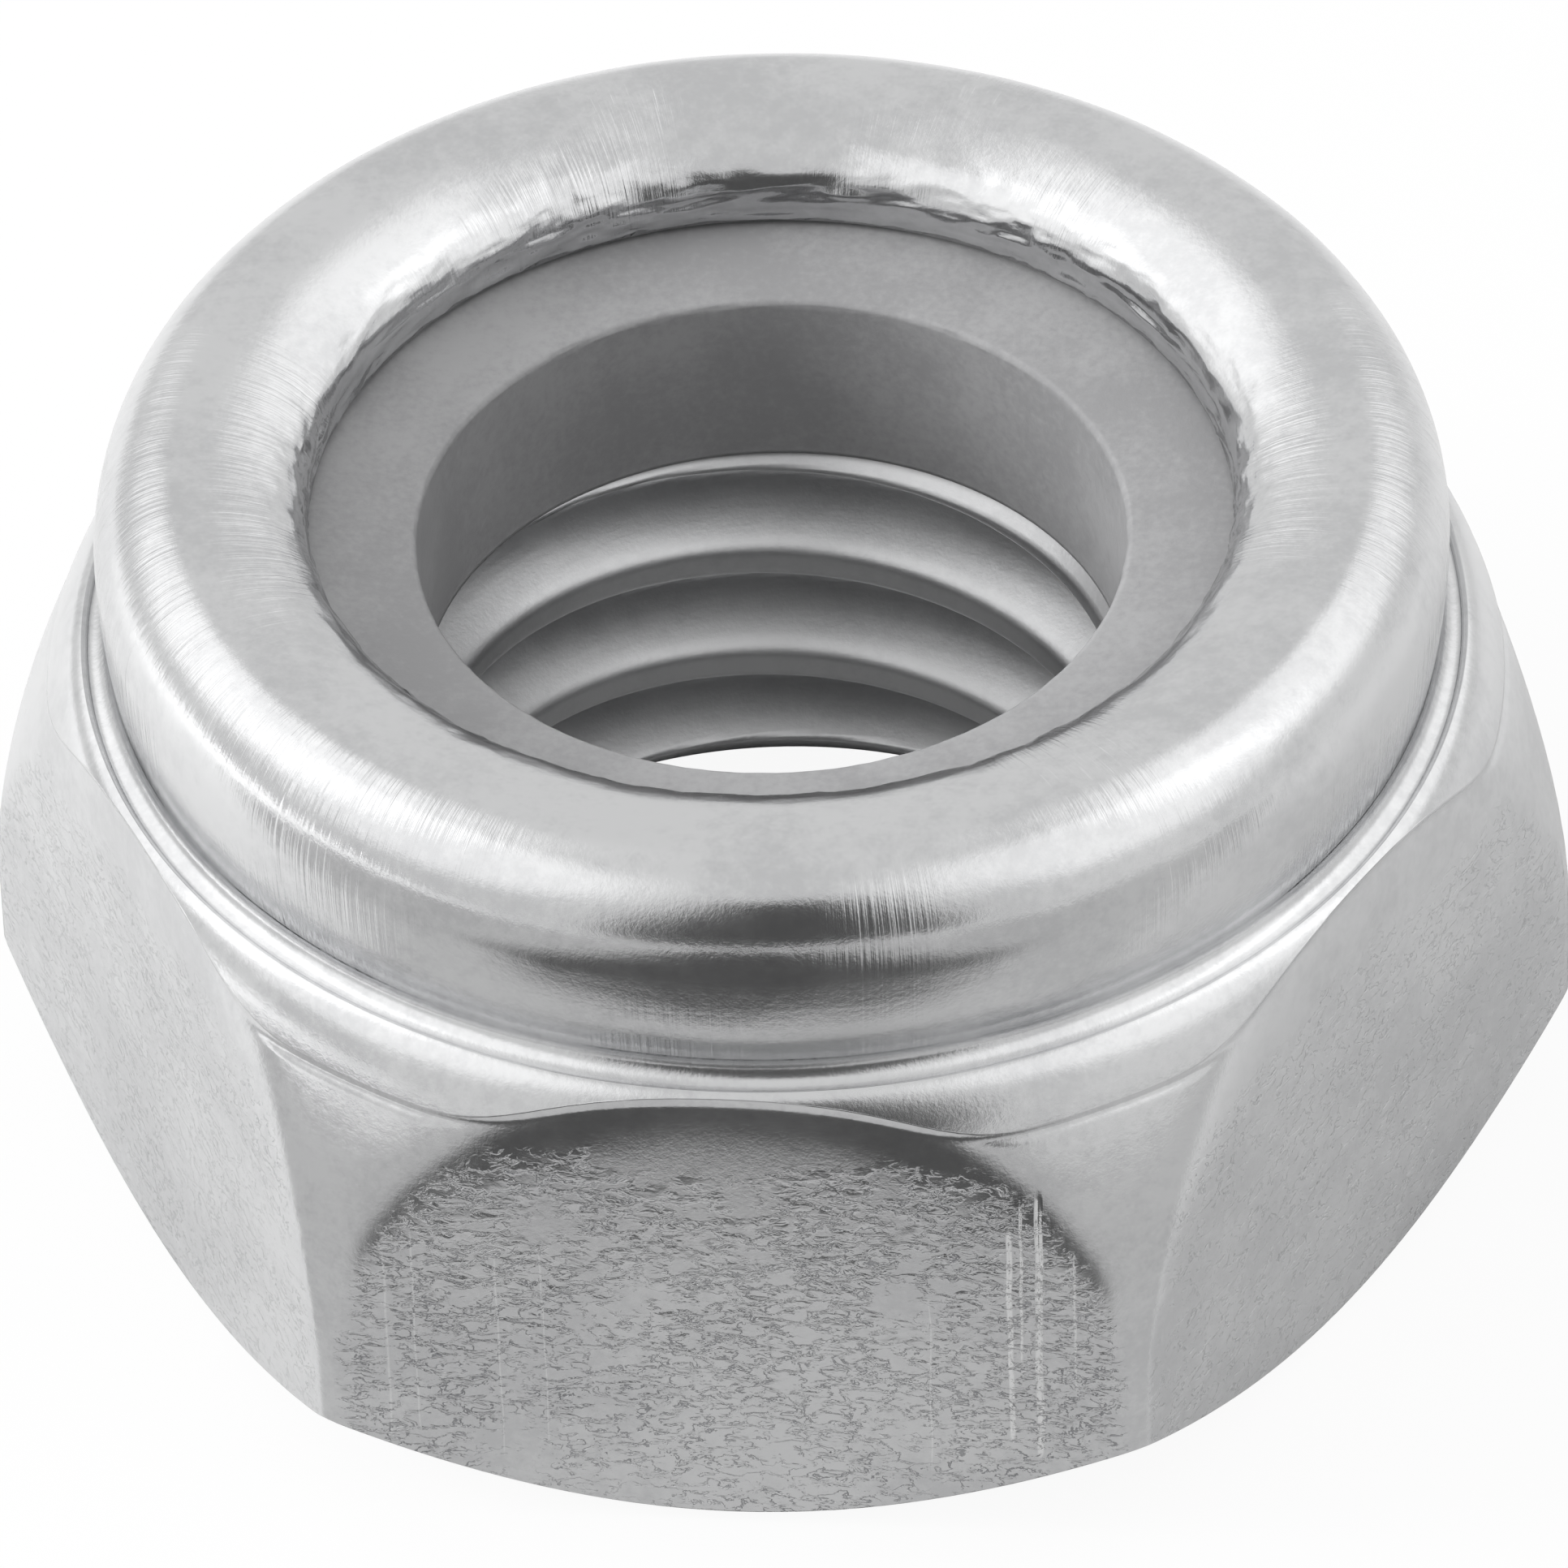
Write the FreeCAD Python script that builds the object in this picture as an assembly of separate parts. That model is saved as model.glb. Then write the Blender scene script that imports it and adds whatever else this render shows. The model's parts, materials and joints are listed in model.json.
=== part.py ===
import FreeCAD, Part
import math
import os

# A prevailing-torque hex lock nut with a polyamide ring held in a rolled collar, thread M6 x 1.
# Millimetres. The bearing face lies on z = 0 and the thread axis is +Z.

Vector = FreeCAD.Vector

# Thread
pitch = 1.0
major_radius = 3.0
minor_radius = 2.459
flank_angle = 30.0
root_flat = pitch / 8
crest_top_at_back = 0.60
thread_tool_overlap = 0.06
thread_tool_turns = 6
bore_overrun = 0.5
bore_sector_count = 4

# Hexagon
across_flats = 10.0
corner_radius = 0.25
base_radius = 4.9
base_chamfer_angle = 45.0
base_edge_radius = 0.12
barrel_radius = 5.73
barrel_start = 1.3
barrel_curve = 6.0

# Shoulder between the hexagon and the collar
shoulder_edge_height = 3.72
shoulder_height = 4.14
shoulder_crown_radius = 4.95
groove_radius = 4.90
groove_height = 4.085
groove_ridge_bulge = 0.01
shoulder_bulge = (0.60, 0.42)

# Rolled collar
total_height = 5.75
collar_radius = 4.82
collar_widest_height = 5.00
collar_waist_radius = 4.76
collar_waist_height = 4.26
collar_fillet = (0.22, 0.34)
collar_flare_bulge = 0.015
collar_crown_radius = 4.20
lip_radius = 3.29
lip_side_height = 5.27
lip_bottom_height = 5.07
arc_inset = 0.3

# Seat for the ring, and the two lead-ins of the bore
seat_radius = 4.05
seat_floor = 3.50
seat_corner = 0.15
lead_in_radius = 3.2
lead_in_angle = 45.0
upper_lead_in_radius = 2.62

# Polyamide ring
ring_clearance = 0.02
ring_bore_radius = 2.52
ring_top_at_bore = 4.94
ring_top_at_rim = 5.02
ring_edge_rounding = 0.06
ring_corner = 0.24


def point(radius, height, angle=0.0):
    return Vector(radius * math.cos(angle), radius * math.sin(angle), height)


def line(start, end):
    return Part.LineSegment(start, end).toShape()


def arc(start, middle, end):
    return Part.Arc(start, middle, end).toShape()


def quarter_ellipse(centre, start, end):
    """Quarter of an ellipse whose two axes end at start and end."""
    across, along = (start, end) if (start - centre).Length < (end - centre).Length else (end, start)
    ellipse = Part.Ellipse(along, across, centre)
    first, last = ellipse.parameter(start), ellipse.parameter(end)
    if (last - first) % math.tau > math.pi:
        first, last = last, first
    return Part.Arc(ellipse, first, last).toShape()


def revolve(edges):
    """Turn a closed outline in the XZ plane once about the Z axis."""
    face = Part.Face(Part.Wire(edges))
    return face.revolve(Vector(0, 0, 0), Vector(0, 0, 1), 360)


def barrel_at(height):
    """Radius of the gently barrelled corners at a height above their widest place."""
    rise = height - barrel_start
    return barrel_radius - barrel_curve + math.sqrt(barrel_curve ** 2 - rise ** 2)


def hexagon_prism():
    """Hexagon with a flat facing -Y and rounded upright corners."""
    corner_distance = across_flats / 2 / math.cos(math.radians(30))
    corners = [point(corner_distance, 0, math.radians(60 * n)) for n in range(7)]
    prism = Part.Face(Part.makePolygon(corners)).extrude(Vector(0, 0, total_height))
    upright = [e for e in prism.Edges if abs(e.Vertexes[0].Z - e.Vertexes[1].Z) > total_height / 2]
    return prism.makeFillet(corner_radius, upright)


def outer_turned_shape():
    """Solid of revolution that limits the hexagon and forms the shoulder, collar and lip."""
    slope = math.tan(math.radians(base_chamfer_angle))
    outer = barrel_radius
    chamfer_top = point(outer, (outer - base_radius) * slope)
    base_inner = point(base_radius - base_edge_radius, 0)
    base_outer = point(base_radius + base_edge_radius / 2, base_edge_radius / 2 * slope)
    base_middle = point(base_radius - base_edge_radius / 8, base_edge_radius / 6)
    barrel_low = point(barrel_radius, barrel_start)
    middle_height = (barrel_start + shoulder_edge_height) / 2
    barrel_middle = point(barrel_at(middle_height), middle_height)
    shoulder_edge = point(barrel_at(shoulder_edge_height), shoulder_edge_height)
    crown = point(shoulder_crown_radius, shoulder_height)
    reach = shoulder_edge.x - crown.x
    drop = crown.z - shoulder_edge.z
    shoulder_middle = point(crown.x + shoulder_bulge[0] * reach, crown.z - shoulder_bulge[1] * drop)
    groove = point(groove_radius, groove_height)
    groove_side = point(
        (crown.x + groove.x) / 2 - groove_ridge_bulge, (crown.z + groove.z) / 2 + groove_ridge_bulge
    )
    waist = point(collar_waist_radius, collar_waist_height)
    waist_low = point(
        waist.x + collar_fillet[0] * (groove.x - waist.x),
        groove.z + collar_fillet[1] * (waist.z - groove.z),
    )
    widest = point(collar_radius, collar_widest_height)
    flare = point((waist.x + widest.x) / 2 + collar_flare_bulge, (waist.z + widest.z) / 2)
    top = point(collar_crown_radius, total_height)
    lip_side = point(lip_radius, lip_side_height)
    lip_under = point(lip_radius, lip_bottom_height)
    axis_top = point(0, lip_bottom_height)
    axis_base = point(0, 0)
    return revolve([
        line(axis_base, base_inner),
        arc(base_inner, base_middle, base_outer),
        line(base_outer, chamfer_top),
        line(chamfer_top, barrel_low),
        arc(barrel_low, barrel_middle, shoulder_edge),
        arc(shoulder_edge, shoulder_middle, crown),
        arc(crown, groove_side, groove),
        arc(groove, waist_low, waist),
        arc(waist, flare, widest),
        quarter_ellipse(point(top.x, widest.z), widest, top),
        quarter_ellipse(point(top.x, lip_side.z), top, lip_side),
        line(lip_side, lip_under),
        line(lip_under, axis_top),
        line(axis_top, axis_base),
    ])


def seat_pocket():
    """Space inside the collar for the ring, closed above by the rolled lip."""
    inset = arc_inset * seat_corner
    floor_edge = point(seat_radius - seat_corner, seat_floor)
    wall_low = point(seat_radius, seat_floor + seat_corner)
    floor_round = point(seat_radius - inset, seat_floor + inset)
    wall_top = point(seat_radius, lip_bottom_height - seat_corner)
    roof_edge = point(seat_radius - seat_corner, lip_bottom_height)
    roof_round = point(seat_radius - inset, lip_bottom_height - inset)
    return revolve([
        line(point(0, seat_floor), floor_edge),
        arc(floor_edge, floor_round, wall_low),
        line(wall_low, wall_top),
        arc(wall_top, roof_round, roof_edge),
        line(roof_edge, point(0, lip_bottom_height)),
        line(point(0, lip_bottom_height), point(0, seat_floor)),
    ])


def lead_in(large_radius, mouth_height, direction):
    """Cone that opens the bore at a mouth; direction is +1 when it deepens upwards."""
    tip_radius = minor_radius - thread_tool_overlap
    height = (large_radius - tip_radius) / math.tan(math.radians(lead_in_angle))
    base = Vector(0, 0, mouth_height)
    return Part.makeCone(large_radius, tip_radius, height, base, Vector(0, 0, direction))


def bore_sectors():
    """Minor-diameter bore in sectors, so that each crest land is a short strip."""
    sweep = 360 / bore_sector_count
    length = seat_floor + 2 * bore_overrun
    start = Vector(0, 0, -bore_overrun)
    sectors = []
    for number in range(bore_sector_count):
        sector = Part.makeCylinder(minor_radius, length, start, Vector(0, 0, 1), sweep)
        sector.rotate(Vector(0, 0, 0), Vector(0, 0, 1), sweep * number)
        sectors.append(sector)
    return sectors


def helix_turn(radius, start, turn):
    """One turn of a right-hand helix that begins in the XZ plane."""
    helix = Part.makeHelix(pitch, pitch, radius)
    helix.translate(Vector(0, 0, start + turn * pitch))
    return helix.Edges[0]


def thread_groove():
    """Right-hand helical V with a flat root, cut outwards from inside the bore."""
    inner_radius = minor_radius - thread_tool_overlap
    half_root = root_flat / 2
    half_mouth = half_root + (major_radius - inner_radius) * math.tan(math.radians(flank_angle))
    corners = [
        (inner_radius, -half_mouth),
        (major_radius, -half_root),
        (major_radius, half_root),
        (inner_radius, half_mouth),
    ]
    faces = []
    for turn in range(thread_tool_turns):
        edges = [helix_turn(radius, offset, turn) for radius, offset in corners]
        for side in range(len(corners)):
            faces.append(Part.makeRuledSurface(edges[side], edges[side - 1]))
    for end in (0, thread_tool_turns):
        outline = [point(radius, offset + end * pitch) for radius, offset in corners]
        faces.append(Part.Face(Part.makePolygon(outline + outline[:1])))
    shell = Part.Shell(faces)
    shell.sewShape()
    groove = Part.Solid(shell)
    groove_at_back = crest_top_at_back - pitch / 8 + pitch / 2
    groove.translate(Vector(0, 0, groove_at_back - pitch / 4 - 2 * pitch))
    return groove


def nut_body():
    body = hexagon_prism().common(outer_turned_shape())
    body = body.cut(seat_pocket())
    for sector in bore_sectors():
        body = body.cut(sector)
    open_top = Part.makeCylinder(lip_radius, total_height, Vector(0, 0, seat_floor + bore_overrun))
    body = body.cut(open_top)
    body = body.cut(lead_in(lead_in_radius, 0, 1))
    body = body.cut(lead_in(upper_lead_in_radius, seat_floor, -1))
    body = body.cut(thread_groove())
    return body


def nylon_insert():
    """Flat ring with a slightly dished top and softened edges."""
    outer = seat_radius - ring_clearance
    rounding = ring_edge_rounding
    bottom = seat_floor
    inner = ring_bore_radius
    side = arc_inset * rounding
    corner = ring_corner
    return revolve([
        line(point(inner, bottom), point(outer - corner, bottom)),
        line(point(outer - corner, bottom), point(outer, bottom + corner)),
        line(point(outer, bottom + corner), point(outer, ring_top_at_rim - corner)),
        line(point(outer, ring_top_at_rim - corner), point(outer - corner, ring_top_at_rim)),
        line(point(outer - corner, ring_top_at_rim), point(lip_radius, ring_top_at_rim)),
        line(point(lip_radius, ring_top_at_rim), point(inner + rounding, ring_top_at_bore)),
        arc(
            point(inner + rounding, ring_top_at_bore),
            point(inner + side, ring_top_at_bore - side),
            point(inner, ring_top_at_bore - rounding),
        ),
        line(point(inner, ring_top_at_bore - rounding), point(inner, bottom)),
    ])


def main():
    os.makedirs("parts", exist_ok=True)
    nodes = {
        "nut_body": nut_body(),
        "nylon_insert": nylon_insert(),
    }
    for name, shape in nodes.items():
        solids = shape.Solids
        print(name, "valid", shape.isValid(), "solids", len(solids), "volume", round(shape.Volume, 3))
        if len(solids) != 1 or not shape.isValid():
            raise ValueError(name + " is not one valid solid")
        shape.exportStep("parts/" + name + ".step")


main()
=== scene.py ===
import bpy
import json
import math
from mathutils import Matrix, Vector


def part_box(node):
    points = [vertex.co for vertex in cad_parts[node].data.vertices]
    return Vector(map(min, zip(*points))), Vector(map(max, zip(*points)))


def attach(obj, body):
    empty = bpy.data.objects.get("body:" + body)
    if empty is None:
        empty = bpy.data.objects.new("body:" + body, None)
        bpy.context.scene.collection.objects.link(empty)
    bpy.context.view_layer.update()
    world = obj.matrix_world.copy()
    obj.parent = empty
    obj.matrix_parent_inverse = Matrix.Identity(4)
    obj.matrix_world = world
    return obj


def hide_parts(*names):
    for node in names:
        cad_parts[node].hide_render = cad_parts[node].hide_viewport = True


# Nylon ring lock nut: a plated steel body and the polyamide ring rolled into its collar.
# Sizes are written in millimetres and multiplied by mm. The bearing face lies on z = 0.

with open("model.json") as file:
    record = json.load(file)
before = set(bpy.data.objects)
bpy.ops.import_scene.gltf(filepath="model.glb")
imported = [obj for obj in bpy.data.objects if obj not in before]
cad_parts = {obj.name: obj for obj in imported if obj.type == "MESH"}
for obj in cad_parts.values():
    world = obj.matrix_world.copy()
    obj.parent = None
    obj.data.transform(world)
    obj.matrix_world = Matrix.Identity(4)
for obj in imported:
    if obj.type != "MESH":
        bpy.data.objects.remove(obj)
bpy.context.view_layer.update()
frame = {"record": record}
mm = 0.001
bodyLow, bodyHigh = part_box("nut_body")
ringLow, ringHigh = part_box("nylon_insert")
threadMount = next(m for m in frame["record"]["mounts"] if m["name"] == "thread")


class Field:
    # a value in a node tree, so that a formula can be written as a formula
    def __init__(self, tree, socket):
        self.tree = tree
        self.socket = socket

    def __add__(self, other):
        return calc(self.tree, "ADD", self, other)

    def __radd__(self, other):
        return calc(self.tree, "ADD", other, self)

    def __sub__(self, other):
        return calc(self.tree, "SUBTRACT", self, other)

    def __rsub__(self, other):
        return calc(self.tree, "SUBTRACT", other, self)

    def __mul__(self, other):
        return calc(self.tree, "MULTIPLY", self, other)

    def __rmul__(self, other):
        return calc(self.tree, "MULTIPLY", other, self)

    def __truediv__(self, other):
        return calc(self.tree, "DIVIDE", self, other)


def plug(tree, socket, value):
    if isinstance(value, Field):
        tree.links.new(value.socket, socket)
    else:
        socket.default_value = value


def addNode(tree, kind, inputs=None, **settings):
    node = tree.nodes.new(kind)
    for name, value in settings.items():
        setattr(node, name, value)
    for name, value in (inputs or {}).items():
        plug(tree, node.inputs[name], value)
    return node


def calc(tree, operation, *values):
    node = addNode(tree, "ShaderNodeMath", operation=operation)
    for socket, value in zip(node.inputs, values):
        plug(tree, socket, value)
    return Field(tree, node.outputs[0])


def combine(tree, x, y, z):
    node = addNode(tree, "ShaderNodeCombineXYZ", {"X": x, "Y": y, "Z": z})
    return Field(tree, node.outputs[0])


def split(tree, vector):
    node = addNode(tree, "ShaderNodeSeparateXYZ", {"Vector": vector})
    return [Field(tree, out) for out in node.outputs]


def noise(tree, vector, scale, detail=2.0, roughness=0.5, distortion=0.0):
    node = addNode(tree, "ShaderNodeTexNoise", {
        "Vector": vector, "Scale": scale, "Detail": detail, "Roughness": roughness, "Distortion": distortion,
    })
    return Field(tree, node.outputs["Fac"])


def stretch(tree, axes, scales):
    return combine(tree, *(axis * scale for axis, scale in zip(axes, scales)))


def ramp(tree, value, low, high, outLow=0.0, outHigh=1.0):
    # smooth step from outLow to outHigh while value goes from low to high
    node = addNode(tree, "ShaderNodeMapRange", interpolation_type="SMOOTHSTEP")
    for socket, number in zip(node.inputs, (value, low, high, outLow, outHigh)):
        plug(tree, socket, number)
    return Field(tree, node.outputs[0])


def minimum(a, b, softness):
    return calc(a.tree, "SMOOTH_MIN", a, b, softness)


def maximum(a, b, softness):
    return calc(a.tree, "SMOOTH_MAX", a, b, softness)


def between(a, b, share):
    return a + (b - a) * share


def straight(start, end):
    return lambda t: (start[0] + (end[0] - start[0]) * t, start[1] + (end[1] - start[1]) * t)


def arc(start, middle, end):
    # circle through three points of the section
    ax, ay = middle[0] - start[0], middle[1] - start[1]
    bx, by = end[0] - start[0], end[1] - start[1]
    cross = 2 * (ax * by - ay * bx)
    cx = (by * (ax * ax + ay * ay) - ay * (bx * bx + by * by)) / cross
    cy = (ax * (bx * bx + by * by) - bx * (ax * ax + ay * ay)) / cross
    radius = math.hypot(cx, cy)
    first = math.atan2(-cy, -cx)
    turn = math.atan2(by - cy, bx - cx) - first
    turn = (turn + math.pi) % (2 * math.pi) - math.pi
    centre = (start[0] + cx, start[1] + cy)
    return lambda t: (centre[0] + radius * math.cos(first + turn * t),
                      centre[1] + radius * math.sin(first + turn * t))


def quarter(centre, start, end):
    # quarter of an ellipse whose two axes end at start and end
    along = (start[0] - centre[0], start[1] - centre[1])
    across = (end[0] - centre[0], end[1] - centre[1])

    def path(t):
        c, s = math.cos(t * math.pi / 2), math.sin(t * math.pi / 2)
        return centre[0] + along[0] * c + across[0] * s, centre[1] + along[1] * c + across[1] * s

    return path


def crowded(t, amount=0.8):
    # steps that stand closer together at both ends of a stretch
    return t - amount * math.sin(2 * math.pi * t) / (2 * math.pi)


class Section:
    # closed outline of a turned piece, in stretches; a stretch's last point starts the next one
    def __init__(self):
        self.points = []
        self.shares = []
        self.bands = []

    def add(self, path, steps, band=0, crowd=0.0):
        for step in range(steps):
            share = crowded(step / steps, crowd)
            r, z = path(share)
            self.points.append((r, 0, z))
            self.shares.append(share)
            self.bands.append(float(band))

    def toObject(self, name):
        count = len(self.points)
        mesh = bpy.data.meshes.new(name)
        mesh.from_pydata(self.points, [(n, (n + 1) % count) for n in range(count)], [])
        for label, values in (("share", self.shares), ("band", self.bands)):
            attribute = mesh.attributes.new(label, "FLOAT", "POINT")
            attribute.data.foreach_set("value", values)
        obj = bpy.data.objects.new(name, mesh)
        bpy.context.scene.collection.objects.link(obj)
        return obj


class TurnedTree:
    # geometry nodes that carry a section round the z axis and let a formula move every point
    def __init__(self, name, sizes):
        self.tree = bpy.data.node_groups.new(name, "GeometryNodeTree")
        face = self.tree.interface
        face.new_socket(name="Section", in_out="INPUT", socket_type="NodeSocketGeometry")
        face.new_socket(name="Columns", in_out="INPUT", socket_type="NodeSocketInt")
        face.new_socket(name="Finish", in_out="INPUT", socket_type="NodeSocketMaterial")
        for label in sizes:
            face.new_socket(name=label, in_out="INPUT", socket_type="NodeSocketFloat")
        face.new_socket(name="Piece", in_out="OUTPUT", socket_type="NodeSocketGeometry")
        self.given = self.tree.nodes.new("NodeGroupInput")
        self.sizes = sizes
        tree = self.tree
        columns = self.size("Columns")
        index = Field(tree, tree.nodes.new("GeometryNodeInputIndex").outputs[0])
        # six equal sectors, with closer columns at their ends, where the corners of the hexagon are
        place = index * 6 / columns
        whole = calc(tree, "FLOOR", place)
        part = place - whole
        part = part - calc(tree, "SINE", part * 2 * math.pi) * (cornerCrowding / (2 * math.pi))
        turn = (whole + part) * math.radians(60)
        ring = addNode(tree, "GeometryNodeCurvePrimitiveCircle", {"Resolution": columns, "Radius": 1.0})
        marked = addNode(tree, "GeometryNodeStoreNamedAttribute", {
            "Geometry": Field(tree, ring.outputs["Curve"]), "Name": "turn", "Value": turn,
        })
        outline = addNode(tree, "GeometryNodeStoreNamedAttribute", {
            "Geometry": self.size("Section"), "Name": "outline",
            "Value": Field(tree, tree.nodes.new("GeometryNodeInputPosition").outputs[0]),
        }, data_type="FLOAT_VECTOR")
        profile = addNode(tree, "GeometryNodeMeshToCurve", {"Mesh": Field(tree, outline.outputs[0])})
        swept = addNode(tree, "GeometryNodeCurveToMesh", {
            "Curve": Field(tree, marked.outputs[0]), "Profile Curve": Field(tree, profile.outputs[0]),
        })
        outward = addNode(tree, "GeometryNodeFlipFaces", {"Mesh": Field(tree, swept.outputs[0])})
        self.mesh = Field(tree, outward.outputs[0])
        self.turn = self.attribute("turn")
        self.share = self.attribute("share")
        self.band = self.attribute("band")
        self.plainRadius, _, self.plainHeight = split(tree, self.attribute("outline", "FLOAT_VECTOR"))
        self.cosine = calc(tree, "COSINE", self.turn)
        self.sine = calc(tree, "SINE", self.turn)

    def size(self, label):
        return Field(self.tree, self.given.outputs[label])

    def attribute(self, label, kind="FLOAT"):
        node = addNode(self.tree, "GeometryNodeInputNamedAttribute", {"Name": label}, data_type=kind)
        return Field(self.tree, node.outputs[0])

    def inBand(self, number):
        return calc(self.tree, "COMPARE", self.band, number, 0.1)

    def store(self, label, value):
        node = addNode(self.tree, "GeometryNodeStoreNamedAttribute", {
            "Geometry": self.mesh, "Name": label, "Value": value,
        })
        self.mesh = Field(self.tree, node.outputs[0])

    def place(self, radius, height):
        spot = combine(self.tree, radius * self.cosine, radius * self.sine, height)
        node = addNode(self.tree, "GeometryNodeSetPosition", {"Geometry": self.mesh, "Position": spot})
        self.mesh = Field(self.tree, node.outputs[0])

    def press(self, depth):
        # move every point inwards along its normal
        normal = addNode(self.tree, "GeometryNodeInputNormal")
        scaled = addNode(self.tree, "ShaderNodeVectorMath", operation="SCALE")
        self.tree.links.new(normal.outputs[0], scaled.inputs[0])
        plug(self.tree, scaled.inputs["Scale"], depth * -1)
        node = addNode(self.tree, "GeometryNodeSetPosition", {
            "Geometry": self.mesh, "Offset": Field(self.tree, scaled.outputs[0]),
        })
        self.mesh = Field(self.tree, node.outputs[0])

    def finish(self):
        tree = self.tree
        smooth = addNode(tree, "GeometryNodeSetShadeSmooth", {"Geometry": self.mesh})
        real = addNode(tree, "GeometryNodeRealizeInstances", {"Geometry": Field(tree, smooth.outputs[0])})
        painted = addNode(tree, "GeometryNodeSetMaterial", {
            "Geometry": Field(tree, real.outputs[0]), "Material": self.size("Finish"),
        })
        out = tree.nodes.new("NodeGroupOutput")
        tree.links.new(painted.outputs[0], out.inputs[0])

    def make(self, name, section, columns, finish):
        obj = section.toObject(name)
        modifier = obj.modifiers.new("turned", "NODES")
        modifier.node_group = self.tree
        sockets = {item.name: item.identifier for item in self.tree.interface.items_tree}
        modifier[sockets["Columns"]] = columns
        modifier[sockets["Finish"]] = finish
        for label, value in self.sizes.items():
            modifier[sockets[label]] = value
        return plainMesh(obj)


def plainMesh(obj):
    bpy.context.view_layer.update()
    graph = bpy.context.evaluated_depsgraph_get()
    mesh = bpy.data.meshes.new_from_object(
        obj.evaluated_get(graph), preserve_all_data_layers=True, depsgraph=graph
    )
    obj.modifiers.clear()
    obj.data = mesh
    print(obj.name, "vertices", len(mesh.vertices), "faces", len(mesh.polygons))
    return obj


cornerCrowding = 0.5
edgeCrowding = 0.8


def startMaterial(name):
    material = bpy.data.materials.new(name)
    material.use_nodes = True
    tree = material.node_tree
    shader = tree.nodes["Principled BSDF"]
    coords = Field(tree, tree.nodes.new("ShaderNodeTexCoord").outputs["Object"])
    return material, tree, shader, coords


def painted(tree, label):
    return Field(tree, addNode(tree, "ShaderNodeAttribute", attribute_name=label).outputs["Fac"])


def bump(tree, height, distance, normal=None):
    node = addNode(tree, "ShaderNodeBump", {"Height": height, "Distance": distance, "Strength": 1.0})
    if normal is not None:
        plug(tree, node.inputs["Normal"], normal)
    return Field(tree, node.outputs[0])


def mixColour(tree, share, low, high):
    node = addNode(tree, "ShaderNodeMix", data_type="RGBA", clamp_factor=False)
    plug(tree, node.inputs[0], share)
    node.inputs[6].default_value = (*low, 1)
    node.inputs[7].default_value = (*high, 1)
    return Field(tree, node.outputs[2])


# a noise is written as its scale per metre, its detail and its roughness
zincLook = {
    "cloud": (700, 4, 0.6),
    "grain": (26000, 3, 0.7),
    "speck": (9000, 2, 0.6),
    "toneShares": (0.6, 0.25, 0.15),  # of cloud, speck and grain
    "toneEdges": (0.38, 0.60),
    "creaseScales": (6500, 6500, 11500),
    "crease": (1, 3, 0.55, 0.5),
    "creaseEdges": (0.40, 0.64),
    "creaseShare": 0.4,
    "pitShare": 0.5,
    "pitWidth": (0.030, 0.006),
    "pitBreaks": (0.44, 0.54),
    "patch": (1500, 3, 0.6),
    "patchEdges": (0.30, 0.52),
    "texturedWander": 1.2 * mm,
    "texturedRoughness": 0.08,
    "frontFlat": (-4.90 * mm, -4.96 * mm),  # y where the front flat begins
    "lineScales": (16000, 16000, 350),
    "wobbleScales": (900, 900, 700),
    "wobbleWidth": 0.10 * mm,
    "scratchTaper": 0.2,
    "soft": (1, 2, 0.5),
    "across": (1, 3, 0.65),
    "acrossScales": (110, 110, 600),
    "turningScales": (1.5, 1.5, 9000, 5000),
    "worked": (420, 2, 0.5),
    "workedEdges": (0.42, 0.60),
    "bright": (0.71, 0.713, 0.718),
    "dull": (0.61, 0.613, 0.62),
    # darker base colour on the thread: painted shade down in the bore, partly duller plating
    "threadShadeAndDulling": 0.3,
    "pitDarkening": 3.2,
    "scrapedShine": 2.0,
    "scrapedDepth": 0.006 * mm,
    "threadRoughness": 0.24,
    "roughness": 0.15,
    "cloudRoughness": 0.06,
    "grainDepth": 0.0014 * mm,
    "creaseDepth": 0.024 * mm,
    "lineDepth": 0.0024 * mm,
    "formingDepth": 0.008 * mm,
    "turningDepth": 0.0012 * mm,
    "texturedTop": (3.15 * mm, 3.55 * mm),  # the flats are smooth above this height
    "otherFlats": 0.35,  # how much of the front flat's creases the other five have
    # upright scratches on the front flat: place, half width, lowest, highest point, depth, all in mm
    "scratches": [
        (1.97, 0.026, 0.85, 3.00, 0.012),
        (2.05, 0.014, 1.60, 3.25, 0.008),
        (2.17, 0.032, 0.70, 3.30, 0.018),
        (2.42, 0.014, 1.30, 2.75, 0.004),
        (-1.30, 0.010, 0.60, 2.70, 0.003),
        (-1.62, 0.012, 0.50, 2.60, 0.003),
        (-2.20, 0.012, 0.70, 2.80, 0.003),
        (-2.40, 0.016, 0.60, 2.60, 0.003),
        (1.40, 0.010, 0.50, 2.30, 0.003),
    ],
}


def scratchRelief(tree, x, z, wobble):
    total = None
    for place, half, low, high, depth in zincLook["scratches"]:
        away = calc(tree, "ABSOLUTE", x - place * mm + (wobble - 0.5) * zincLook["wobbleWidth"])
        taper = zincLook["scratchTaper"]
        bottom = ramp(tree, z, low * mm, (low + taper) * mm)
        top = ramp(tree, z, high * mm, (high - taper) * mm)
        mark = ramp(tree, away, half * mm, 0.0) * bottom * top * (depth * mm)
        total = mark if total is None else total + mark
    return total


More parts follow.
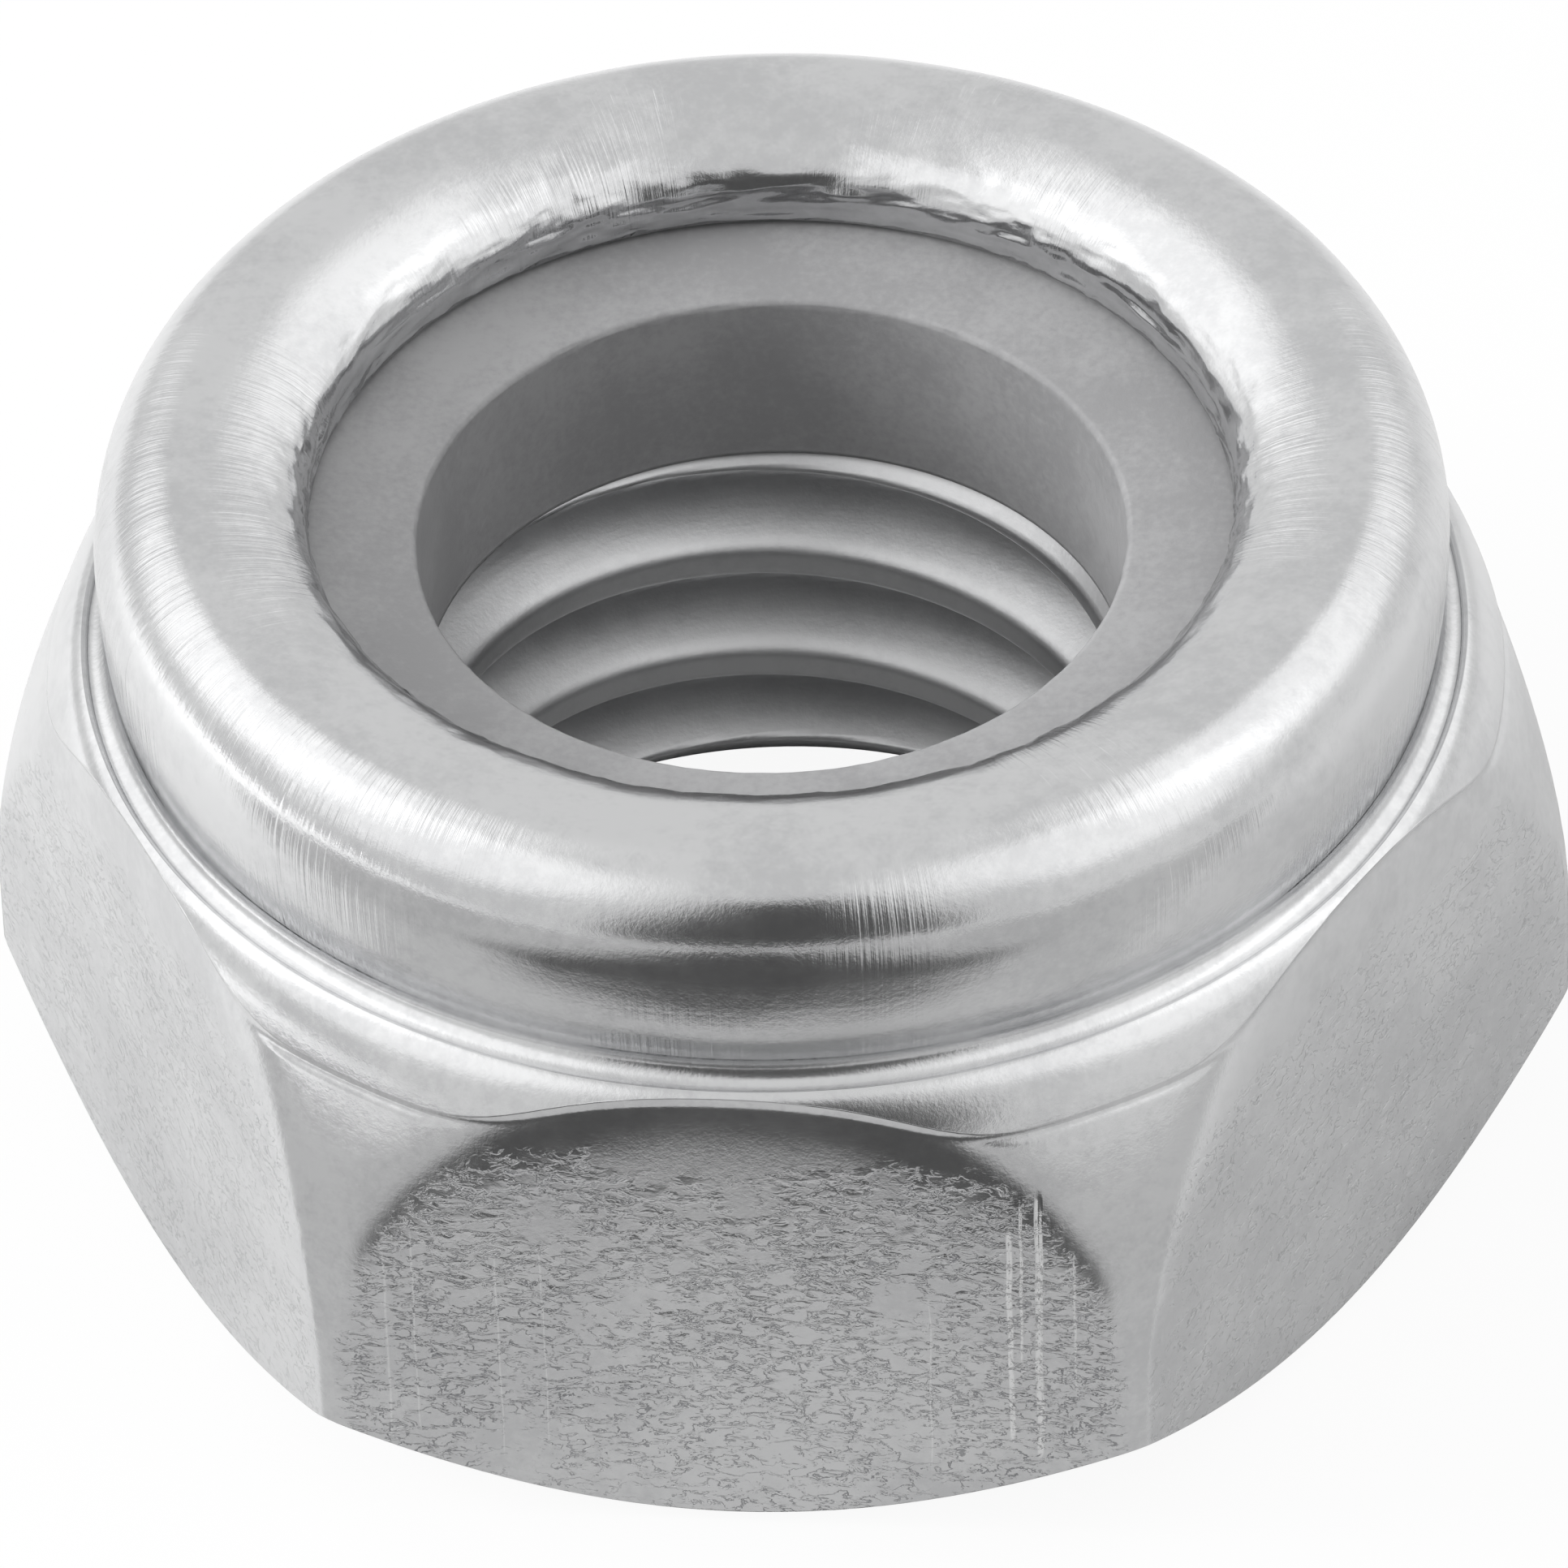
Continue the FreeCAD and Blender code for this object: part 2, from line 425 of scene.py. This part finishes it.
def brightZinc():
    look = zincLook
    material, tree, shader, coords = startMaterial("brightZinc")
    x, y, z = split(tree, coords)
    radius = calc(tree, "SQRT", x * x + y * y)
    flat = painted(tree, "flat")
    roll = painted(tree, "roll")
    thread = painted(tree, "thread")
    aroundX, aroundY = x / radius, y / radius
    cloud = noise(tree, coords, *look["cloud"])
    grain = noise(tree, coords, *look["grain"])
    speck = noise(tree, coords, *look["speck"])
    # short creases left by the forming dies, on the lower part of the flats
    crease = noise(tree, stretch(tree, (x, y, z), look["creaseScales"]), *look["crease"])
    patches = ramp(tree, noise(tree, coords, *look["patch"]), *look["patchEdges"])
    creases = ramp(tree, crease, *look["creaseEdges"]) * patches
    smoothFrom, smoothTo = look["texturedTop"]
    textured = flat * ramp(tree, z + (cloud - 0.5) * look["texturedWander"], smoothTo, smoothFrom)
    front = ramp(tree, y, *look["frontFlat"])
    textured = textured * (front * (1 - look["otherFlats"]) + look["otherFlats"])
    # upright drawing lines on the flats
    lines = noise(tree, stretch(tree, (x, y, z), look["lineScales"]), *look["soft"])
    wobble = noise(tree, stretch(tree, (x, y, z), look["wobbleScales"]), *look["soft"])
    scratches = scratchRelief(tree, x, z, wobble) * front
    # marks of the rolling tool, which run across the roll, and fine turning lines round it
    across = noise(tree, stretch(tree, (aroundX, aroundY, radius), look["acrossScales"]), *look["across"])
    scaleX, scaleY, scaleZ, scaleRadius = look["turningScales"]
    spiral = combine(tree, aroundX * scaleX, aroundY * scaleY, z * scaleZ + radius * scaleRadius)
    turning = noise(tree, spiral, *look["soft"])
    worked = ramp(tree, noise(tree, coords, *look["worked"]), *look["workedEdges"])
    cloudShare, speckShare, grainShare = look["toneShares"]
    tone = cloud * cloudShare + speck * speckShare + grain * grainShare
    # painted shade: the thread down in the bore gets a darker base colour, partly for duller plating there
    shine = ramp(tree, tone, *look["toneEdges"]) * (1 - thread * look["threadShadeAndDulling"])
    # the colour is darker along the pits, and scratches have scraped the zinc bright
    thin = ramp(tree, calc(tree, "ABSOLUTE", crease - 0.5), *look["pitWidth"])
    pits = thin * ramp(tree, speck, *look["pitBreaks"]) * patches * textured
    scraped = ramp(tree, scratches, 0.0, look["scrapedDepth"])
    shine = shine + scraped * look["scrapedShine"]
    plug(tree, shader.inputs["Base Color"], mixColour(tree, shine - pits * look["pitDarkening"],
                                                      look["dull"], look["bright"]))
    shader.inputs["Metallic"].default_value = 1.0
    plug(tree, shader.inputs["Roughness"],
         look["roughness"] + ramp(tree, cloud, 0.35, 0.65, 0.0, look["cloudRoughness"])
         + textured * look["texturedRoughness"]
         + thread * look["threadRoughness"])
    normal = bump(tree, grain, look["grainDepth"])
    relief = creases * textured * look["creaseShare"] - pits * look["pitShare"]
    normal = bump(tree, relief, look["creaseDepth"], normal)
    normal = bump(tree, lines * flat, look["lineDepth"], normal)
    normal = bump(tree, scratches * -1 / mm, mm, normal)
    normal = bump(tree, across * roll * worked, look["formingDepth"], normal)
    normal = bump(tree, turning * (1 - flat), look["turningDepth"], normal)
    plug(tree, shader.inputs["Normal"], normal)
    return material


nylonLook = {
    "pale": (0.33, 0.33, 0.335),
    "deep": (0.26, 0.26, 0.265),
    "roughness": 0.42,
    "grainDepth": 0.003 * mm,
}


def satinNylon():
    look = nylonLook
    material, tree, shader, coords = startMaterial("satinNylon")
    cloud = noise(tree, coords, 900, 3, 0.55)
    grain = noise(tree, coords, 16000, 3, 0.6)
    plug(tree, shader.inputs["Base Color"], mixColour(
        tree, ramp(tree, cloud * 0.6 + grain * 0.4, 0.35, 0.65), look["deep"], look["pale"]))
    plug(tree, shader.inputs["Roughness"], look["roughness"] + ramp(tree, grain, 0.3, 0.7, 0.0, 0.12))
    plug(tree, shader.inputs["Normal"], bump(tree, grain, look["grainDepth"]))
    return material


def paleFloor():
    # a light table: it shines a little by itself, so that shadows on it stay faint
    material, tree, shader, coords = startMaterial("paleFloor")
    soft = noise(tree, coords, 40, 2, 0.5)
    plug(tree, shader.inputs["Base Color"], mixColour(tree, soft, (0.72, 0.72, 0.72), (0.74, 0.74, 0.74)))
    shader.inputs["Roughness"].default_value = 0.9
    glow = addNode(tree, "ShaderNodeEmission", {"Color": (1, 1, 1, 1), "Strength": 1.0})
    camera = Field(tree, tree.nodes.new("ShaderNodeLightPath").outputs["Is Camera Ray"])
    mix = addNode(tree, "ShaderNodeMixShader", {"Fac": camera * stageLook["floorGlow"]})
    tree.links.new(shader.outputs[0], mix.inputs[1])
    tree.links.new(glow.outputs[0], mix.inputs[2])
    tree.links.new(mix.outputs[0], tree.nodes["Material Output"].inputs["Surface"])
    return material


def paintedReflectionCard():
    # painted reflection: a glowing grey card that only reflections see; it turns black a few millimetres in
    # front of the nut, where it stands in for shade, and pale to both sides
    material, tree, shader, coords = startMaterial("paintedReflectionCard")
    look = stageLook
    x, y, z = split(tree, coords)
    waver = (noise(tree, coords, 300) - 0.5) * mm
    far = ramp(tree, bodyLow.y - y + waver, *look["cardTurn"])
    aside = ramp(tree, calc(tree, "ABSOLUTE", x) + waver, *look["cardSide"])
    ahead = far * (look["cardBlack"] - look["cardGrey"]) + look["cardGrey"]
    grey = ahead + (look["cardPale"] - ahead) * aside
    glow = addNode(tree, "ShaderNodeEmission", {"Color": combine(tree, grey, grey, grey), "Strength": 1.0})
    tree.links.new(glow.outputs[0], tree.nodes["Material Output"].inputs["Surface"])
    return material


nutSizes = {
    "acrossFlats": bodyHigh.y - bodyLow.y,
    "height": bodyHigh.z,
    "barrelRadius": bodyHigh.x,
    "cornerSoftLow": 0.024,  # how far the hexagon's corners are rounded, as a share of its size
    "cornerSoftHigh": 0.060,
    "baseRadius": 4.9 * mm,
    "baseRounding": 0.12 * mm,
    "barrelStart": 1.3 * mm,
    "barrelCurve": 6.0 * mm,
    "shoulderEdge": 3.72 * mm,
    "shoulderTop": 4.14 * mm,
    "shoulderCrown": 4.95 * mm,
    "groove": (4.90 * mm, 4.085 * mm),
    "waist": (4.76 * mm, 4.26 * mm),
    "collar": (4.82 * mm, 5.00 * mm),
    "crown": 4.20 * mm,
    "lipRadius": 3.29 * mm,
    "lipSide": 5.27 * mm,
    "lipUnder": 5.07 * mm,
    "seatRadius": 4.05 * mm,
    "seatFloor": ringLow.z,
    "seatCorner": 0.15 * mm,
    "leadIn": 3.2 * mm,
    "upperLeadIn": 2.62 * mm,
    "pitch": 1.0 * mm,
    "majorRadius": 3.0 * mm,
    "minorRadius": threadMount["dims"]["r_mm"] * mm,
    "crestAtBack": 0.60 * mm,
    "columns": 264,
    "edgeSoftLow": 0.03 * mm,
    "edgeSoftHigh": 0.30 * mm,
    "crestRounding": 0.16 * mm,
    "rootRounding": 0.05 * mm,
    "leadInRounding": 0.02 * mm,
    "unevenness": 0.014 * mm,
    "lipBurr": 0.13 * mm,
}
bands = {"plain": 0, "chamfer": 1, "wall": 2, "shoulder": 3, "thread": 4, "seatFloor": 5, "lip": 6, "roll": 7,
         "groove": 8}


def nutSection():
    s = nutSizes
    section = Section()
    base, rounding = s["baseRadius"], s["baseRounding"]
    baseIn, baseOut = (base - rounding, 0), (base + rounding / 2, rounding / 2)
    crown = (s["shoulderCrown"], s["shoulderTop"])
    groove, waist, collar = s["groove"], s["waist"], s["collar"]
    top = (s["crown"], s["height"])
    lipSide = (s["lipRadius"], s["lipSide"])
    lipUnder = (s["lipRadius"], s["lipUnder"])
    seat, floor, corner = s["seatRadius"], s["seatFloor"], s["seatCorner"]

    section.add(straight((s["leadIn"], 0), baseIn), 9)
    section.add(arc(baseIn, (base - rounding / 8, rounding / 6), baseOut), 5)
    section.add(straight(baseOut, baseOut), 10, bands["chamfer"], edgeCrowding)
    section.add(straight(baseOut, crown), 58, bands["wall"], edgeCrowding)
    section.add(straight(crown, crown), 18, bands["shoulder"], edgeCrowding)
    section.add(arc(crown, ((crown[0] + groove[0]) / 2 - 0.01 * mm, (crown[1] + groove[1]) / 2 + 0.01 * mm),
                    groove), 8, bands["groove"])
    fillet = (waist[0] + 0.22 * (groove[0] - waist[0]), groove[1] + 0.34 * (waist[1] - groove[1]))
    section.add(arc(groove, fillet, waist), 16, bands["groove"])
    section.add(arc(waist, ((waist[0] + collar[0]) / 2 + 0.015 * mm, (waist[1] + collar[1]) / 2), collar),
                16, bands["roll"])
    section.add(quarter((top[0], collar[1]), collar, top), 30, bands["roll"])
    section.add(quarter((top[0], lipSide[1]), top, lipSide), 34, bands["roll"])
    section.add(straight(lipSide, lipUnder), 7, bands["lip"])
    section.add(straight(lipUnder, (seat - corner, lipUnder[1])), 4)
    section.add(straight((seat - corner, lipUnder[1]), (seat, lipUnder[1] - corner)), 2)
    section.add(straight((seat, lipUnder[1] - corner), (seat, floor + corner)), 5)
    section.add(straight((seat, floor + corner), (seat - corner, floor)), 2)
    section.add(straight((seat - corner, floor), (s["upperLeadIn"], floor)), 6, bands["seatFloor"])
    section.add(straight((s["upperLeadIn"], floor), (s["leadIn"], 0)), 140, bands["thread"])
    return section


def nutTree():
    s = nutSizes
    sizes = {
        "Height": s["height"], "Across flats": s["acrossFlats"], "Corner softness low": s["cornerSoftLow"],
        "Corner softness high": s["cornerSoftHigh"], "Base radius": s["baseRadius"] + s["baseRounding"] / 2,
        "Base height": s["baseRounding"] / 2, "Barrel radius": s["barrelRadius"],
        "Barrel start": s["barrelStart"], "Barrel curve": s["barrelCurve"],
        "Shoulder edge": s["shoulderEdge"], "Shoulder top": s["shoulderTop"],
        "Shoulder crown": s["shoulderCrown"], "Seat radius": s["seatRadius"] - s["seatCorner"],
        "Seat floor": s["seatFloor"], "Lead in": s["leadIn"], "Upper lead in": s["upperLeadIn"],
        "Pitch": s["pitch"], "Major radius": s["majorRadius"], "Minor radius": s["minorRadius"],
        "Crest at back": s["crestAtBack"], "Edge softness low": s["edgeSoftLow"],
        "Edge softness high": s["edgeSoftHigh"], "Crest rounding": s["crestRounding"],
        "Unevenness": s["unevenness"], "Lip burr": s["lipBurr"],
    }
    work = TurnedTree("turnedNut", sizes)
    tree, size = work.tree, work.size

    # hexagon, from its two nearest flats, with corners that soften towards the top
    sector = calc(tree, "WRAP", work.turn, math.radians(30), math.radians(-30))
    near = calc(tree, "COSINE", math.radians(30) - calc(tree, "ABSOLUTE", sector))
    far = calc(tree, "COSINE", math.radians(30) + calc(tree, "ABSOLUTE", sector))

    def hexagonAt(height):
        rise = ramp(tree, height / size("Shoulder edge"), 0.25, 1.0)
        softness = between(size("Corner softness low"), size("Corner softness high"), rise)
        return size("Across flats") / 2 / maximum(near, far, softness)

    def barrelAt(height):
        rise = maximum(height - size("Barrel start"), 0.0, 0.1 * mm)
        curve = size("Barrel curve")
        return size("Barrel radius") - curve + calc(tree, "SQRT", curve * curve - rise * rise)

    def outerAt(height):
        rise = ramp(tree, height / size("Shoulder edge"), 0.5, 1.0)
        softness = between(size("Edge softness low"), size("Edge softness high"), rise)
        return minimum(hexagonAt(height), barrelAt(height), softness)

    def threadAt(height):
        # distance from the middle of the groove, which climbs once a turn
        middle = size("Crest at back") + size("Pitch") * (work.turn / (2 * math.pi) + 0.125)
        phase = (height - middle) / size("Pitch")
        away = calc(tree, "PINGPONG", phase, 0.5) * size("Pitch")
        depth = (away - size("Pitch") / 16) / math.tan(math.radians(30))
        cut = minimum(size("Major radius") - depth, size("Major radius"), s["rootRounding"])
        return maximum(cut, size("Minor radius"), size("Crest rounding"))

    chamfer, wall = work.inBand(bands["chamfer"]), work.inBand(bands["wall"])
    shoulder, thread = work.inBand(bands["shoulder"]), work.inBand(bands["thread"])
    seat, lip = work.inBand(bands["seatFloor"]), work.inBand(bands["lip"])
    roll, groove = work.inBand(bands["roll"]), work.inBand(bands["groove"])
    plain = 1 - chamfer - wall - shoulder - thread - seat

    chamferEnd = outerAt(size("Base height") + 0.3 * mm)
    chamferRadius = between(size("Base radius"), chamferEnd, work.share)
    chamferHeight = size("Base height") + chamferRadius - size("Base radius")
    wallLow = size("Base height") + chamferEnd - size("Base radius")
    edge = outerAt(size("Shoulder edge"))
    shoulderRadius = between(edge, size("Shoulder crown"), work.share)

    def shoulderHeightAt(radius):
        reach = barrelAt(size("Shoulder edge")) - size("Shoulder crown")
        out = (radius - size("Shoulder crown")) / reach
        fall = out * out * 0.75 + out * 0.25
        return size("Shoulder top") - (size("Shoulder top") - size("Shoulder edge")) * fall

    wallHeight = between(wallLow, shoulderHeightAt(edge), work.share)
    wallRadius = between(outerAt(wallHeight), edge, ramp(tree, work.share, 0.97, 1.0))
    threadHeight = size("Seat floor") * (1 - work.share)
    threadRadius = maximum(
        maximum(threadAt(threadHeight), size("Lead in") - threadHeight, s["leadInRounding"]),
        size("Upper lead in") - size("Seat floor") + threadHeight, s["leadInRounding"])
    seatInner = maximum(threadAt(size("Seat floor")), size("Upper lead in"), s["leadInRounding"])
    seatRadius = between(size("Seat radius"), seatInner, work.share)

    radius = (plain * work.plainRadius + chamfer * chamferRadius + wall * wallRadius
              + shoulder * shoulderRadius + thread * threadRadius + seat * seatRadius)
    height = ((plain + seat) * work.plainHeight + chamfer * chamferHeight + wall * wallHeight
              + shoulder * shoulderHeightAt(shoulderRadius) + thread * threadHeight)

    # the rolled edge is not quite round, and its tip is torn a little
    around = combine(tree, work.cosine, work.sine, work.share * 0.3)
    tear = noise(tree, around, 9, 5, 0.75) - 0.5
    lipShare = lip + roll * ramp(tree, work.plainRadius, 3.9 * mm, 3.35 * mm)
    radius = radius + lipShare * tear * size("Lip burr")
    height = minimum(height, size("Height"), 0.0)
    work.place(radius, height)

    clear = barrelAt(wallHeight) - hexagonAt(wallHeight)
    flatShare = (wall + chamfer * 0.3) * ramp(tree, clear, 0.0, 0.05 * mm)
    work.store("flat", flatShare)
    work.store("roll", roll + lip)
    work.store("thread", thread)
    spot = Field(tree, tree.nodes.new("GeometryNodeInputPosition").outputs[0])
    waves = noise(tree, spot, 900, 3, 0.5)
    work.press(waves * size("Unevenness") * (roll + groove * 0.8 + wall * 0.5 + shoulder * 0.6))
    work.finish()
    return work


def buildNutBody(finish):
    nut = nutTree().make("lock_nut_body", nutSection(), nutSizes["columns"], finish)
    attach(nut, "root")
    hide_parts("nut_body")
    return nut


ringSizes = {
    "outer": ringHigh.x,
    "bottom": ringLow.z,
    "bore": 2.52 * mm,
    "topAtBore": 4.94 * mm,
    "topAtRim": ringHigh.z,
    "corner": 0.24 * mm,
    "edge": 0.06 * mm,
    "columns": 216,
    "unevenness": 0.010 * mm,
    "boreBurr": 0.03 * mm,
}


def ringSection():
    s = ringSizes
    section = Section()
    outer, bottom, bore, corner, edge = s["outer"], s["bottom"], s["bore"], s["corner"], s["edge"]
    rim = (outer - corner, s["topAtRim"])
    lipFoot = (nutSizes["lipRadius"], s["topAtRim"])
    boreTop = (bore + edge, s["topAtBore"])
    boreSide = (bore, s["topAtBore"] - edge)
    section.add(straight((bore, bottom), (outer - corner, bottom)), 12)
    section.add(straight((outer - corner, bottom), (outer, bottom + corner)), 4)
    section.add(straight((outer, bottom + corner), (outer, rim[1] - corner)), 14)
    section.add(straight((outer, rim[1] - corner), rim), 4)
    section.add(straight(rim, lipFoot), 8)
    section.add(straight(lipFoot, boreTop), 26, 1)
    section.add(arc(boreTop, (bore + 0.3 * edge, s["topAtBore"] - 0.3 * edge), boreSide), 8, 2)
    section.add(straight(boreSide, (bore, bottom)), 50, 3)
    return section


def ringTree():
    s = ringSizes
    work = TurnedTree("turnedRing", {"Unevenness": s["unevenness"], "Bore burr": s["boreBurr"]})
    tree, size = work.tree, work.size
    top, edge, bore = work.inBand(1), work.inBand(2), work.inBand(3)
    around = combine(tree, work.cosine, work.sine, work.share * 0.2)
    ragged = noise(tree, around, 14, 4, 0.7) - 0.5
    work.place(work.plainRadius + edge * ragged * size("Bore burr"), work.plainHeight)
    spot = Field(tree, tree.nodes.new("GeometryNodeInputPosition").outputs[0])
    waves = noise(tree, spot, 1100, 3, 0.5)
    work.press(waves * size("Unevenness") * (top + edge + bore))
    work.finish()
    return work


def buildRing(finish):
    ring = ringTree().make("nylon_ring", ringSection(), ringSizes["columns"], finish)
    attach(ring, "root")
    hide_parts("nylon_insert")
    return ring


stageLook = {
    "floorHalf": 400 * mm,
    "floorGlow": 0.93,
    "cardDepth": 60 * mm,
    "cardHalf": 30 * mm,
    "cardTurn": (3.2 * mm, 4.0 * mm),  # distance from the front flat where the card turns black
    "cardSide": (4.4 * mm, 8.0 * mm),  # distance from the middle where the card turns pale
    "cardGrey": 0.64,
    "cardPale": 0.60,
    "cardBlack": 0.10,
    "skyStrength": 1.0,
    "skyGrey": 0.80,
    # the soft boxes: degrees aside from the camera, degrees above the floor, brightness
    "boxes": [(-118, 42, 1.40), (-68, 42, 1.28), (66, 42, 1.20), (118, 42, 1.25)],
    "boxEdge": (0.83, 0.94),  # cosine of the angle from a box's middle to its outer and inner edge
    "shapeHalf": (0.06, 0.44),  # half width of the dark shape, at its top and at the horizon
    "shapeEdge": 0.08,
    "shapeTop": (0.82, 0.68),  # heights between which the dark shape ends
    "fillPlace": (-80 * mm, -6 * mm, 36 * mm),
    "fillSize": 40 * mm,
    "fillPower": 0.065,
}
cameraView = {
    "azimuth": 5.25,
    "elevation": 42.13,
    "roll": -1.62,
    "distance": 99.98 * mm,
    "lens": 317.9,
    "sensor": 36.0,
    "target": (0.038 * mm, 0.0035 * mm, 2.515 * mm),
}


def quad(name, low, high, height, material=None):
    mesh = bpy.data.meshes.new(name)
    corners = [(low[0], low[1], height), (high[0], low[1], height), (high[0], high[1], height),
               (low[0], high[1], height)]
    mesh.from_pydata(corners, [], [(0, 1, 2, 3)])
    obj = bpy.data.objects.new(name, mesh)
    bpy.context.scene.collection.objects.link(obj)
    if material:
        mesh.materials.append(material)
    return obj


def buildFloor():
    half = stageLook["floorHalf"]
    quad("floor", (-half, -half), (half, half), -0.002 * mm, paleFloor())
    # painted reflection: a glowing card that only reflections see; it paints shade and light into the front
    # faces and keeps them from washing out
    wide = stageLook["cardHalf"]
    near = bodyLow.y - stageLook["cardDepth"]
    card = quad("card", (-wide, near), (wide, bodyLow.y), 0.01 * mm, paintedReflectionCard())
    card.visible_camera = False
    card.visible_diffuse = False
    card.visible_shadow = False
    card.visible_transmission = False


def buildLight():
    # a soft fill from the left, which gloss doesn't mirror
    light = bpy.data.lights.new("fill", "AREA")
    light.shape = "DISK"
    light.size = stageLook["fillSize"]
    light.energy = stageLook["fillPower"]
    lamp = bpy.data.objects.new("fill", light)
    place = Vector(stageLook["fillPlace"])
    lamp.matrix_world = Matrix.Translation(place) @ place.to_track_quat("Z", "Y").to_matrix().to_4x4()
    lamp.visible_glossy = False
    bpy.context.scene.collection.objects.link(lamp)


def buildSky():
    # white room with a dark shape behind the camera, narrow at the top and wide below
    world = bpy.data.worlds.new("studio")
    world.use_nodes = True
    bpy.context.scene.world = world
    tree = world.node_tree
    background = tree.nodes["Background"]
    way = Field(tree, tree.nodes.new("ShaderNodeTexCoord").outputs["Generated"])
    x, y, z = split(tree, way)
    azimuth = math.radians(cameraView["azimuth"])
    facing = x * math.sin(azimuth) - y * math.cos(azimuth)
    sideways = calc(tree, "ABSOLUTE", x * math.cos(azimuth) + y * math.sin(azimuth))
    narrow, wide = stageLook["shapeHalf"]
    half = ramp(tree, z, 0.98, 0.05, narrow, wide)
    shape = ramp(tree, sideways - half, stageLook["shapeEdge"], -stageLook["shapeEdge"])
    shape = shape * ramp(tree, facing, 0.0, 0.1) * ramp(tree, z, *stageLook["shapeTop"])
    room = stageLook["skyGrey"]
    for aside, lift, brightness in stageLook["boxes"]:
        turned, lift = azimuth + math.radians(aside), math.radians(lift)
        towards = (math.sin(turned) * math.cos(lift), -math.cos(turned) * math.cos(lift), math.sin(lift))
        box = ramp(tree, x * towards[0] + y * towards[1] + z * towards[2], *stageLook["boxEdge"])
        room = room + box * (brightness - stageLook["skyGrey"])
    camera = Field(tree, tree.nodes.new("ShaderNodeLightPath").outputs["Is Camera Ray"])
    room = between(room, stageLook["cardBlack"], shape)
    # the camera itself sees plain white
    seen = between(room, 1.0, camera)
    plug(tree, background.inputs["Color"], combine(tree, seen, seen, seen))
    background.inputs["Strength"].default_value = stageLook["skyStrength"]


def buildCamera():
    view = cameraView
    a, e, roll = (math.radians(view[name]) for name in ("azimuth", "elevation", "roll"))
    back = Vector((math.sin(a) * math.cos(e), -math.cos(a) * math.cos(e), math.sin(e)))
    right = Vector((math.cos(a), math.sin(a), 0))
    up = back.cross(right)
    across = right * math.cos(roll) + up * math.sin(roll)
    upward = up * math.cos(roll) - right * math.sin(roll)
    data = bpy.data.cameras.new("camera")
    data.lens = view["lens"]
    data.sensor_width = view["sensor"]
    data.clip_start = view["distance"] / 10
    data.clip_end = 10
    camera = bpy.data.objects.new("camera", data)
    camera.matrix_world = Matrix.Translation(Vector(view["target"]) + back * view["distance"]) @ Matrix(
        (across, upward, back)).transposed().to_4x4()
    bpy.context.scene.collection.objects.link(camera)
    bpy.context.scene.camera = camera


buildCamera()
bpy.context.scene.view_settings.view_transform = "Standard"
buildNutBody(brightZinc())
buildRing(satinNylon())
print("pieces made")
buildFloor()
buildLight()
buildSky()
print("stage made")
